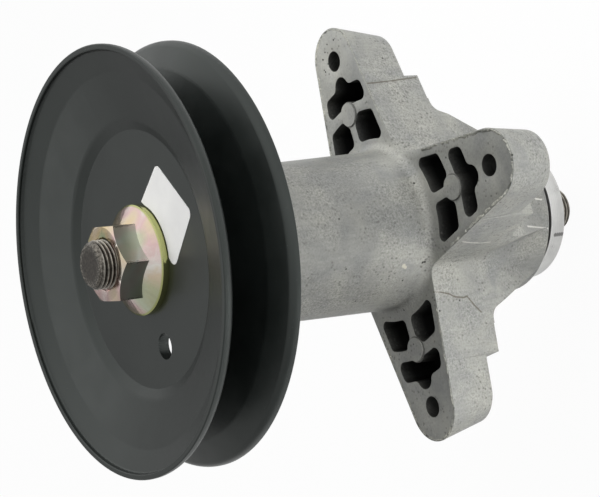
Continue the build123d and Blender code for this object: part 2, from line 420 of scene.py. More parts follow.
@dataclass(frozen=True)
class CastAluminium(Finish):
    """Die-cast aluminium as it leaves the die: grey, faintly streaked, pitted, and speckled but calm on level faces,
    with painted highlights and painted shade where lines, stud rings and hollows are given.
    """

    name: str = "cast_aluminium"
    dark: Colour = (0.20, 0.203, 0.192)
    mid: Colour = (0.376, 0.379, 0.361)
    light: Colour = (0.54, 0.54, 0.515)
    grain_per_mm: float = 1.5
    rough: Flat = (0.42, 0.56)
    metal: float = 0.4
    grain_depth: float = 0.028
    relief_depth: float = 0.10
    pits: Spots = ()
    chips: Spots = ()
    seam_shades: tuple[Line, ...] = ()
    painted_highlights: tuple[Line, ...] = ()
    studs: tuple[Point, ...] = ()
    stud_shade_radii: Flat = (4.3, 4.9)
    shade_depths: Flat | None = None
    barrel: Flat = (28.0, 46.0)
    boss: Flat = (-10.0, -24.0)
    ends_darkening: float = 0.78
    calm: float = 0.7
    fleck: Colour = (0.15, 0.15, 0.138)
    pit: Colour = (0.05, 0.05, 0.045)
    chip: Colour = (0.58, 0.56, 0.47)
    seam_shade: Colour = (0.13, 0.118, 0.09)
    painted_highlight: Colour = (0.72, 0.71, 0.66)
    # Dark ring round the studs' feet: dirt and painted shade.
    ring: Colour = (0.10, 0.10, 0.095)
    hollow_shade: Colour = (0.010, 0.010, 0.010)

    def dress(self, tree: Tree) -> None:
        """Fills a new material's nodes.

        Args:
            tree: the nodes.
        """
        grain = tree.noise(self.grain_per_mm, 4.0, 0.65)
        mottle = tree.noise(0.07, 4.0, 0.6, 0.6)
        flow = tree.noise(0.9, 3.0, 0.6, 0.0, tree.vector("MULTIPLY", tree.place, (1.0, 1.0, 0.12)))
        speckle = tree.ramp(grain, (0.30, self.dark), (0.5, self.mid), (0.72, self.light))
        level = tree.math("MULTIPLY", tree.share(tree.facing(), 0.8, 0.95), self.calm)
        strength = tree.ramp(tree.noise(0.055, 2.0), (0.40, 0.3), (0.62, 1.0))
        strength = tree.math("MULTIPLY", strength, tree.math("SUBTRACT", 1.0, level))
        colour = tree.blend(strength, self.mid, speckle)
        colour = tree.tint(colour, tree.ramp(mottle, (0.3, (0.76, 0.77, 0.78)), (0.7, (1.12, 1.11, 1.06))))
        colour = tree.tint(colour, tree.ramp(flow, (0.3, 0.92), (0.7, 1.05)))
        height = tree.height()
        # Darker on the barrel above its foot and on the boss below the arms.
        ends = tree.most([tree.share(height, *self.barrel), tree.share(height, *self.boss)])
        colour = tree.blend(ends, colour, tree.tint(colour, (self.ends_darkening,) * 3))
        flecks = tree.ramp(tree.cells(0.62), (0.14, 1.0), (0.34, 0.0))
        flecks = tree.math("MULTIPLY", flecks, tree.ramp(tree.noise(0.14, 4.0, 0.6), (0.47, 0.0), (0.60, 0.8)))
        colour = tree.blend(flecks, colour, self.fleck)
        pits = tree.ramp(tree.cells(0.13), (0.035, 1.0), (0.06, 0.0))
        if self.pits:
            pits = tree.most([pits, tree.spots(self.pits)])
        colour = tree.blend(pits, colour, self.pit)
        if self.chips:
            colour = tree.blend(tree.spots(self.chips), colour, self.chip)
        # Painted shade: dark lines along a seam and a slit on the walls, where no groove is modelled.
        for seam_shade in self.seam_shades:
            colour = tree.blend(tree.math("MULTIPLY", tree.lines(seam_shade, 0.42), 0.85), colour, self.seam_shade)
        # Painted highlights: light lines along rounded edges where they catch the light.
        for painted_highlight in self.painted_highlights:
            colour = tree.blend(tree.math("MULTIPLY", tree.lines(painted_highlight, 0.4), 0.8), colour, self.painted_highlight)
        # Dirt and painted shade: a dark ring in the corner round each stud's foot.
        if self.studs:
            colour = tree.blend(tree.discs((stud, *self.stud_shade_radii) for stud in self.studs), colour, self.ring)
        # Painted shade: the core pockets darken to near black deeper down.
        if self.shade_depths:
            colour = tree.blend(tree.share(height, *self.shade_depths), self.hollow_shade, colour)
        rough = tree.ramp(mottle, (0.3, self.rough[0]), (0.7, self.rough[1]))
        drop = tree.math("SUBTRACT", 1.0, tree.most([pits, flecks]))
        relief = tree.bump((tree.noise(0.25, 3.0), self.relief_depth), (grain, self.grain_depth),
                           (drop, self.relief_depth))
        tree.set(Base_Color=colour, Metallic=self.metal, Roughness=rough, Normal=relief)


@dataclass(frozen=True)
class BlackPaint(Finish):
    """Semi-gloss black paint on pressed steel, with faint orange peel and dust."""

    name: str = "black_paint"
    colour: Colour = (0.0052, 0.0066, 0.0062)
    dust: Colour = (0.0095, 0.0115, 0.0108)
    speck: Colour = (0.06, 0.065, 0.06)
    sheen: Colour = (0.92, 1.0, 0.955)
    mirror: float = 0.75

    def dress(self, tree: Tree) -> None:
        """Fills a new material's nodes.

        Args:
            tree: the nodes.
        """
        haze = tree.noise(0.06, 3.0, 0.6)
        specks = tree.ramp(tree.cells(0.35), (0.03, 0.5), (0.07, 0.0))
        colour = tree.blend(tree.ramp(haze, (0.35, 0.0), (0.75, 1.0)), self.colour, self.dust)
        colour = tree.blend(specks, colour, self.speck)
        rough = tree.ramp(tree.noise(0.12, 4.0), (0.3, 0.31), (0.7, 0.40))
        relief = tree.bump((tree.noise(0.05, 2.0), 0.05), (tree.noise(0.9, 2.0), 0.006))
        tree.set(Base_Color=colour, Roughness=rough, Normal=relief, Specular_IOR_Level=self.mirror,
                 Specular_Tint=self.sheen)


@dataclass(frozen=True)
class YellowZinc(Finish):
    """Yellow chromate over zinc: pale gold with pink and green clouds."""

    name: str = "yellow_zinc"
    cream: Colour = (0.76, 0.63, 0.47)
    pink: Colour = (0.76, 0.55, 0.53)
    green: Colour = (0.52, 0.62, 0.38)
    gold: Colour = (0.76, 0.60, 0.35)
    pale: Colour = (0.82, 0.79, 0.73)
    rim: Colour = (0.50, 0.52, 0.22)
    flat: Colour = (0.66, 0.70, 0.58)
    green_clouds: Spots = (((-14.0, -4.5, 118.5), 8.5), ((4.0, -12.5, 124.0), 5.0))
    rim_radius: float = 17.7
    hexagon: Flat = (13.2, 14.0)
    flat_share: float = 0.5
    green_share: float = 0.6

    def dress(self, tree: Tree) -> None:
        """Fills a new material's nodes.

        Args:
            tree: the nodes.
        """
        cloud = tree.noise(0.05, 1.0, 0.4, 0.4)
        fine = tree.noise(0.45, 2.0, 0.5, 0.8)
        mixed = tree.blend(0.06, cloud, fine)
        colour = tree.ramp(mixed, (0.28, self.green), (0.36, self.gold), (0.44, self.cream), (0.52, self.pink),
                           (0.59, self.pale), (0.66, self.cream), (0.76, self.green))
        radius = tree.radius()
        rim = tree.share(radius, self.rim_radius - 0.5, self.rim_radius)
        colour = tree.blend(tree.math("MULTIPLY", tree.spots(self.green_clouds), self.green_share), colour, self.green)
        colour = tree.blend(rim, colour, self.rim)
        upright = tree.share(tree.math("ABSOLUTE", tree.facing()), 0.3, 0.1)
        flats = tree.math("MULTIPLY", upright, tree.share(radius, self.hexagon[1], self.hexagon[0]))
        colour = tree.blend(tree.math("MULTIPLY", flats, self.flat_share), colour, self.flat)
        rough = tree.blend(flats, tree.ramp(fine, (0.3, 0.15), (0.7, 0.26)), (0.31, 0.31, 0.31))
        relief = tree.bump((tree.noise(0.25, 2.0), 0.03), (tree.noise(1.6, 3.0), 0.008))
        tree.set(Base_Color=colour, Metallic=1.0, Roughness=rough, Normal=relief)


@dataclass(frozen=True)
class Steel(Finish):
    """Bare or oiled steel with lathe marks round the axis."""

    name: str
    dark: Colour
    light: Colour
    rough: Flat
    marks_per_mm: float = 3.0
    mark_depth: float = 0.006
    smears: Spots = ()
    smear: Colour = (0.10, 0.10, 0.095)

    def dress(self, tree: Tree) -> None:
        """Fills a new material's nodes.

        Args:
            tree: the nodes.
        """
        line = tree.add("CombineXYZ")
        tree.put(line.inputs[0], tree.math("ADD", tree.height(), tree.radius()))
        marks = tree.noise(self.marks_per_mm, 3.0, 0.7, 0.0, line.outputs[0])
        stain = tree.noise(0.13, 4.0, 0.65, 0.5)
        mixed = tree.blend(0.5, marks, stain)
        colour = tree.ramp(mixed, (0.35, self.dark), (0.65, self.light))
        if self.smears:
            colour = tree.blend(tree.math("MULTIPLY", tree.spots(self.smears), 0.75), colour, self.smear)
        rough = tree.ramp(stain, (0.3, self.rough[0]), (0.7, self.rough[1]))
        relief = tree.bump((marks, self.mark_depth), (tree.noise(2.0, 3.0), 0.006))
        tree.set(Base_Color=colour, Metallic=1.0, Roughness=rough, Normal=relief)


@dataclass(frozen=True)
class CutThread(Finish):
    """Oiled screw thread: darker in its roots and lighter towards its crests."""

    name: str = "cut_thread"
    root: Colour = (0.09, 0.082, 0.070)
    flank: Colour = (0.34, 0.315, 0.275)
    crest: Colour = (0.66, 0.63, 0.56)
    middle: float = 35.5
    chamfer_start: float = 97.9
    root_radius: float = 7.28
    crest_radius: float = 7.93

    def dress(self, tree: Tree) -> None:
        """Fills a new material's nodes.

        Args:
            tree: the nodes.
        """
        grime = tree.noise(0.7, 3.0, 0.6)
        rise = tree.share(tree.radius(), self.root_radius, self.crest_radius)
        colour = tree.ramp(rise, (0.15, self.root), (0.7, self.flank), (0.95, self.crest))
        colour = tree.tint(colour, tree.ramp(grime, (0.3, 0.45), (0.65, 1.1)))
        reach = tree.math("ABSOLUTE", tree.math("SUBTRACT", tree.height(), self.middle))
        worn = tree.ramp(tree.noise(1.4, 3.0, 0.7), (0.42, self.root), (0.68, self.flank))
        colour = tree.blend(tree.share(reach, self.chamfer_start, self.chamfer_start + 0.3), colour, worn)
        rough = tree.ramp(grime, (0.3, 0.28), (0.7, 0.42))
        tree.set(Base_Color=colour, Metallic=0.9, Roughness=rough, Normal=tree.bump((tree.noise(3.0, 3.0), 0.015)))


@dataclass(frozen=True)
class SawnEnd(Finish):
    """The shaft's end: dark, dull and speckled, with painted highlights of light specks round its rim."""

    name: str = "sawn_end"
    dark: Colour = (0.034, 0.031, 0.027)
    brown: Colour = (0.085, 0.076, 0.065)
    speck: Colour = (0.40, 0.38, 0.33)
    rim_radius: float = 6.6

    def dress(self, tree: Tree) -> None:
        """Fills a new material's nodes.

        Args:
            tree: the nodes.
        """
        grit = tree.noise(1.1, 4.0, 0.7)
        colour = tree.ramp(grit, (0.35, self.dark), (0.62, self.brown))
        # Painted highlight: light specks round the end face's rim.
        rim = tree.share(tree.radius(), self.rim_radius - 2.0, self.rim_radius)
        specks = tree.ramp(tree.noise(1.7, 3.0, 0.7), (0.50, 0.0), (0.60, 0.9))
        colour = tree.blend(tree.math("MULTIPLY", rim, specks), colour, self.speck)
        tree.set(Base_Color=colour, Metallic=0.6, Roughness=0.5, Normal=tree.bump((grit, 0.08)))


@dataclass(frozen=True)
class Paper(Finish):
    """White label paper with a faint tooth and soft creases."""

    name: str = "label_paper"
    white: Colour = (0.96, 0.96, 0.945)
    grey: Colour = (0.90, 0.90, 0.89)

    def dress(self, tree: Tree) -> None:
        """Fills a new material's nodes.

        Args:
            tree: the nodes.
        """
        tooth = tree.noise(3.0, 3.0)
        cloud = tree.noise(0.12, 3.0)
        colour = tree.blend(tree.ramp(cloud, (0.3, 0.0), (0.7, 1.0)), self.white, self.grey)
        relief = tree.bump((cloud, 0.08), (tooth, 0.006))
        tree.set(Base_Color=colour, Roughness=0.55, Normal=relief)


@dataclass(frozen=True)
class Moulding(Finish):
    """Rubber or nylon with a fine moulded grain."""

    name: str
    first: Colour
    second: Colour
    rough: float

    def dress(self, tree: Tree) -> None:
        """Fills a new material's nodes.

        Args:
            tree: the nodes.
        """
        cloud = tree.noise(0.4, 3.0)
        colour = tree.blend(tree.ramp(cloud, (0.3, 0.0), (0.7, 1.0)), self.first, self.second)
        tree.set(Base_Color=colour, Roughness=self.rough, Normal=tree.bump((tree.noise(2.5, 2.0), 0.01)))


def new_object(name: str, data: bpy.types.ID) -> bpy.types.Object:
    """Puts a new object into the scene.

    Args:
        name: the object's name.
        data: its mesh, light or camera.

    Returns:
        The object.
    """
    made = bpy.data.objects.new(name, data)
    bpy.context.scene.collection.objects.link(made)
    return made


def coat(node: bpy.types.Object, material: bpy.types.Material) -> None:
    """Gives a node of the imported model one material."""
    node.data.materials.clear()
    node.data.materials.append(material)


def new_piece(name: str, mesh: bpy.types.Mesh, body: Body, *finishes: Finish) -> bpy.types.Object:
    """Links a mesh into the scene, dresses it and sets it riding.

    Args:
        name: the piece's name.
        mesh: its mesh, in the row frame.
        body: what it moves with.
        finishes: what the mesh's material slots hold, in order.

    Returns:
        The piece.
    """
    for finish in finishes:
        mesh.materials.append(finish.material())
    piece = new_object(name, mesh)
    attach(piece, body.value)
    LOG.info("%s: %d faces on %s", name, len(mesh.polygons), body.value)
    return piece


def smooth(mesh: bpy.types.Mesh, sharp_deg: float = 35.0) -> None:
    """Shades a mesh smooth but for its sharp edges.

    Args:
        mesh: the mesh to shade.
        sharp_deg: edges that turn by more stay sharp.
    """
    mesh.shade_smooth()
    mesh.set_sharp_from_angle(angle=math.radians(sharp_deg))


def mesh_of(work: bmesh.types.BMesh, name: str) -> bpy.types.Mesh:
    """Turns a working mesh into a mesh and frees it.

    Args:
        work: the working mesh.
        name: the new mesh's name.

    Returns:
        The mesh.
    """
    mesh = bpy.data.meshes.new(name)
    work.to_mesh(mesh)
    work.free()
    return mesh


def rounded_copy(node: str, width_mm: float, sharp_deg: float, segments: int = 2,
                 slot_of: Callable[[Vector], int] | None = None,
                 edge_slot_of: Callable[[Vector], int] | None = None,
                 is_crisp: Callable[[Vector], bool] | None = None,
                 mend: Callable[[bmesh.types.BMesh], None] | None = None) -> bpy.types.Mesh:
    """A copy of a node's mesh, with its faces joined up and its sharp edges rounded.

    Args:
        node: the node to copy.
        width_mm: width of the rounding.
        sharp_deg: edges that turn by more are rounded.
        segments: faces across the rounding.
        slot_of: gives the material slot of a face from its middle.
        edge_slot_of: gives the same for a rounding's face.
        is_crisp: tells from an edge's middle whether it stays sharp.
        mend: changes the joined mesh before its edges are rounded.

    Returns:
        The new mesh.
    """
    work = bmesh.new()
    work.from_mesh(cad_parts[node].data)
    bmesh.ops.remove_doubles(work, verts=work.verts, dist=0.002 * MM)
    bmesh.ops.dissolve_limit(work, angle_limit=math.radians(0.6), verts=work.verts, edges=work.edges)
    if mend:
        mend(work)
    for face in work.faces:
        face.material_index = slot_of(face.calc_center_median()) if slot_of else 0
    limit = math.radians(sharp_deg)
    edges = [e for e in work.edges if len(e.link_faces) == 2 and e.calc_face_angle(0.0) > limit]
    if is_crisp:
        edges = [e for e in edges if not is_crisp((e.verts[0].co + e.verts[1].co) / 2)]
    made = bmesh.ops.bevel(work, geom=edges, offset=width_mm * MM, segments=segments, profile=0.5,
                           affect="EDGES", clamp_overlap=True, loop_slide=True)
    for face in made["faces"]:
        face.material_index = edge_slot_of(face.calc_center_median()) if edge_slot_of else 0
    bmesh.ops.triangulate(work, faces=[f for f in work.faces if len(f.verts) > 4])
    mesh = mesh_of(work, node + "_mesh")
    old_normals = mesh.attributes.get("custom_normal")
    if old_normals:
        mesh.attributes.remove(old_normals)
    smooth(mesh)
    return mesh


@dataclass
class SpindleHousing:
    """The die-cast housing: rounded casting, and the crumbly flash left along the arms' top edges. In millimetres."""

    edge_round: float = 0.55
    sharp_deg: float = 24.0
    arm_top: float = 19.1
    bolt_radius: float = 64.75
    tip_radius: float = 12.1
    root_radius: float = 23.9
    bore_radius: float = 24.6
    core_depth: float = 15.5
    core_start: float = 27.0
    core_end: float = 60.3
    core_wall: float = 2.2
    stud_along: float = 44.05
    stud_radius: float = 4.2
    flash_step: float = 0.22
    flash_height: float = 0.75
    flash_start: float = 34.0
    pits: Spots = (
        ((71.8, -3.2, 19.1), 0.45), ((72.0, 1.2, 19.1), 0.4), ((69.3, -0.9, 19.1), 0.4),
        ((70.0, 3.7, 19.1), 0.42), ((68.1, 6.1, 19.1), 0.5), ((65.5, 3.9, 19.1), 0.38),
        ((63.5, 6.6, 19.1), 0.45), ((-18.6, -21.1, 22.2), 0.5), ((-18.6, -21.35, 21.5), 0.5),
    )
    chips: Spots = (((-18.8, -20.6, 30.0), 0.95), ((-19.3, -20.2, 29.2), 0.75))
    # Painted shade along a seam and a slit on the walls.
    seam_shades: tuple[Line, ...] = (
        ((-28.8, -18.6, 19.1), (-29.4, -18.8, 15.9), (-30.2, -18.6, 13.1), (-31.5, -18.3, 10.6),
         (-32.1, -18.1, 7.2), (-31.9, -18.2, 5.4), (-34.9, -17.5, 3.1), (-37.9, -17.0, 0.3)),
        ((49.8, -15.1, 18.9), (50.3, -14.8, 8.0), (51.2, -14.4, -3.6)),
    )
    # Painted highlight lines along rounded edges of the arms and wedges.
    painted_highlights: tuple[Line, ...] = (
        ((-17.3, -37.4, 16.3), (-17.6, -35.7, 11.6), (-17.8, -34.2, 6.5), (-17.7, -33.7, 1.6)),
        ((-13.3, -31.5, -18.7), (-13.3, -28.7, -24.8), (-13.2, -24.5, -33.8)),
        ((-2.6, -27.7, -29.2), (-3.2, -27.6, -32.0)),
    )

    def build(self) -> None:
        """Makes the casting and its flash."""
        along = self.stud_along
        studs = tuple((x, y, self.arm_top) for x, y in ((along, 0.0), (0.0, along), (-along, 0.0), (0.0, -along)))
        wall = CastAluminium(pits=self.pits, chips=self.chips, seam_shades=self.seam_shades, painted_highlights=self.painted_highlights, studs=studs)
        # A lighter, smoother copy on the rounded edges: painted highlight.
        edge = CastAluminium("edge_highlight", (0.36, 0.36, 0.34), (0.58, 0.58, 0.56), (0.78, 0.78, 0.75), 1.5, (0.34, 0.46))
        # A dark copy of the aluminium in the core pockets, darker deeper down: painted shade.
        core = CastAluminium("core_pocket_shade", (0.04, 0.041, 0.039), (0.075, 0.076, 0.072), (0.12, 0.121, 0.115), 1.2,
                             shade_depths=(13.5, 18.9))
        stud = CastAluminium("ejector_stud", (0.20, 0.202, 0.192), (0.37, 0.372, 0.355), (0.52, 0.52, 0.50), 1.6)
        hole = Steel("bolt_hole", (0.09, 0.092, 0.086), (0.21, 0.212, 0.20), (0.4, 0.55), 1.2, 0.12)
        bore = Steel("machined_bore", (0.42, 0.42, 0.41), (0.6, 0.6, 0.58), (0.25, 0.38))
        mesh = rounded_copy("spindle_housing", self.edge_round, self.sharp_deg, 2, self.skin, self.edge_skin,
                            self.at_stud, self.close_ledges)
        casting = new_piece("housing_casting", mesh, Body.HOUSING, wall, edge, core, hole, bore, stud)
        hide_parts("spindle_housing")
        # Crumbly flash grain, whose strong dark and light speckle also paints the crumbs' shadows and glints.
        flash_shade_and_glints = CastAluminium("flash", (0.08, 0.08, 0.07), (0.44, 0.44, 0.40), (0.80, 0.79, 0.72), 1.1, (0.35, 0.5))
        flash = new_piece("arm_flash", self.flash(), Body.HOUSING, flash_shade_and_glints)

    def half_width(self, along: float) -> float:
        """Half the width of an arm at a distance from the axis, in millimetres.

        Args:
            along: the distance.

        Returns:
            Half the width.
        """
        lean = (self.root_radius - self.tip_radius) / self.bolt_radius
        return (self.root_radius - along * lean) / math.sqrt(1 - lean * lean)

    def on_arm(self, place: Vector) -> Point:
        """Tells where a place lies on the nearest of the four arms, which are alike.

        Args:
            place: the place, in metres.

        Returns:
            Distance along the arm, distance across it and height, in millimetres.
        """
        x, y, z = place / MM
        return max(abs(x), abs(y)), min(abs(x), abs(y)), z

    def skin(self, middle: Vector) -> int:
        """Material slot of a face of the casting.

        Args:
            middle: the face's middle, in metres.

        Returns:
            The slot.
        """
        along, across, z = self.on_arm(middle)
        if math.hypot(along, across) < self.bore_radius:
            return Skin.BORE
        if z > self.arm_top + 0.1 and self.at_stud(middle):
            return Skin.STUD
        sunk = self.arm_top - self.core_depth < z < self.arm_top - 0.5
        if sunk and along > self.core_start and across < self.half_width(along) - self.core_wall:
            if along < self.core_end:
                return Skin.CORE
            if math.hypot(along - self.bolt_radius, across) < self.tip_radius / 2:
                return Skin.BOLT_HOLE
        return Skin.WALL

    def at_stud(self, place: Vector) -> bool:
        """Whether a place lies on an ejector stud's rim.

        Args:
            place: the place, in metres.

        Returns:
            True on a stud.
        """
        along, across, z = self.on_arm(place)
        return z > self.arm_top - 0.1 and math.hypot(along - self.stud_along, across) < self.stud_radius + 0.3

    def close_ledges(self, work: bmesh.types.BMesh) -> None:
        """Welds shut the slim ledges between the arms' walls and the heels under them.

        Args:
            work: the casting's mesh.
        """
        targets = {}
        for face in work.faces:
            if len(face.verts) == 4 and face.normal.z > 0.9 and abs(face.calc_center_median().z) < 0.05 * MM:
                for edge in sorted(face.edges, key=lambda e: e.calc_length())[:2]:
                    near, far = sorted(edge.verts, key=lambda v: v.co.xy.length)
                    targets[far] = near
        bmesh.ops.weld_verts(work, targetmap=targets)

    def edge_skin(self, middle: Vector) -> int:
        """Material slot of a rounded edge: a lighter copy that paints a highlight, but plain at the bolt holes' rims.

        Args:
            middle: the face's middle, in metres.

        Returns:
            The slot.
        """
        along, across, z = self.on_arm(middle)
        hole = math.hypot(along - self.bolt_radius, across) < self.tip_radius / 2
        return Skin.WALL if hole and z > self.arm_top / 2 else Skin.EDGE

    def outline(self) -> list[tuple[Vector, Vector]]:
        """Walks along one arm's top edge, from one root round the tip to the other.

        Returns:
            Points in millimetres, each with its outward direction.
        """
        lean = math.asin((self.root_radius - self.tip_radius) / self.bolt_radius)
        turn = math.pi / 2 - lean
        out = Vector((math.cos(turn), math.sin(turn)))
        start = Vector((self.flash_start, self.half_width(self.flash_start)))
        end = Vector((self.bolt_radius, 0.0)) + out * self.tip_radius
        steps = int((end - start).length / self.flash_step)
        side = [(start.lerp(end, i / steps), out) for i in range(steps)]
        steps = int(turn * self.tip_radius / self.flash_step)
        for i in range(steps):
            angle = turn * (1 - i / steps)
            out = Vector((math.cos(angle), math.sin(angle)))
            side.append((Vector((self.bolt_radius, 0.0)) + out * self.tip_radius, out))
        back = [(Vector((p.x, -p.y)), Vector((n.x, -n.y))) for p, n in reversed(side)]
        return side + back

    def flash(self) -> bpy.types.Mesh:
        """Makes a broken ridge along each arm's top edge, tallest on the arm that faces -Y.

        Returns:
            The mesh.
        """
        work = bmesh.new()
        for arm, (angle, share) in enumerate(((0.0, 0.35), (90.0, 0.45), (180.0, 0.5), (270.0, 1.0))):
            turn = Matrix.Rotation(math.radians(angle), 3, "Z")
            rows = []
            for i, (place, out) in enumerate(self.outline()):
                run = i * self.flash_step
                broad = noise.noise((run * 0.13, arm * 9.1, 0.3))
                crumb = noise.noise((run * 0.55, arm * 5.3, 2.7)) + 0.6 * noise.noise((run * 1.7, arm * 2.9, 8.3))
                rise = self.flash_height * share * max(0.0, 0.42 + 0.8 * broad + 0.9 * crumb)
                wide = 0.55 + 0.4 * noise.noise((run * 0.4, arm * 3.7, 6.1))
                shift = 0.3 * noise.noise((run * 0.7, arm * 6.7, 4.1)) - 0.25 - wide / 2
                ring = [(shift - wide, -0.03), (shift - wide * 0.4, rise * 0.8), (shift + wide * 0.3, rise),
                        (-0.05, -0.55)]
                rows.append([work.verts.new(turn @ Vector((*(place + out * o), self.arm_top + h)) * MM)
                             for o, h in ring])
            for low, high in zip(rows, rows[1:]):
                for k in range(3):
                    work.faces.new((low[k], low[k + 1], high[k + 1], high[k]))
        bmesh.ops.recalc_face_normals(work, faces=work.faces)
        return mesh_of(work, "flash_mesh")


@dataclass
class BeltPulley:
    """The two black sheaves, and the blank paper label on the front one. In millimetres."""

    web_face: float = 116.0
    label_thick: float = 0.12
    label_corner: float = 2.3
    flange_clear: float = 18.4
    label_corners: tuple[Flat, ...] = ((-5.3, -17.6), (-9.4, -19.5), (2.8, -37.8), (23.9, -24.5), (16.6, -9.4))

    def build(self) -> None:
        """Paints both sheaves and sticks the label on."""
        paint = BlackPaint().material()
        for name in ("front_sheave", "rear_sheave"):
            coat(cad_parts[name], paint)
        new_piece("blank_label", self.label(), Body.ROTOR, Paper())

    def label_outline(self) -> list[Vector]:
        """Draws the label: round corners outside, and an arc round the nut's flange inside.

        Returns:
            The outline's points in millimetres.
        """
        corners = [Vector(p) for p in self.label_corners]
        points = [corners[0]]
        for before, here, after in zip(corners, corners[1:], corners[2:]):
            back = (before - here).normalized()
            ahead = (after - here).normalized()
            half = back.angle(ahead) / 2
            setback = self.label_corner / math.tan(half)
            centre = here + (back + ahead).normalized() * (self.label_corner / math.sin(half))
            first, last = here + back * setback - centre, here + ahead * setback - centre
            points += [centre + first.lerp(last, k / 6).normalized() * self.label_corner for k in range(7)]
        points.append(corners[-1])
        first, last = (math.atan2(c.y, c.x) for c in (corners[-1], corners[0]))
        for k in range(1, 12):
            angle = first + (last - first) * k / 12
            points.append(Vector((math.cos(angle), math.sin(angle))) * self.flange_clear)
        return points

    def label(self) -> bpy.types.Mesh:
        """Makes the label as a thin sheet on the web's face.

        Returns:
            The mesh.
        """
        work = bmesh.new()
        base = [work.verts.new(Vector((p.x, p.y, self.web_face)) * MM) for p in self.label_outline()]
        face = work.faces.new(base)
        made = bmesh.ops.extrude_face_region(work, geom=[face])
        lifted = [v for v in made["geom"] if isinstance(v, bmesh.types.BMVert)]
        bmesh.ops.translate(work, verts=lifted, vec=(0.0, 0.0, self.label_thick * MM))
        bmesh.ops.recalc_face_normals(work, faces=work.faces)
        bmesh.ops.triangulate(work, faces=[f for f in work.faces if len(f.verts) > 4])
        return mesh_of(work, "label_mesh")


@dataclass
class FlangeNut:
    """The yellow zinc flange nut with eased edges, in millimetres."""

    edge_round: float = 0.35
    sharp_deg: float = 24.0

    def build(self) -> None:
        """Makes the nut."""
        mesh = rounded_copy("flange_nut", self.edge_round, self.sharp_deg, 3)
        nut = new_piece("zinc_flange_nut", mesh, Body.ROTOR, YellowZinc())
        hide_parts("flange_nut")


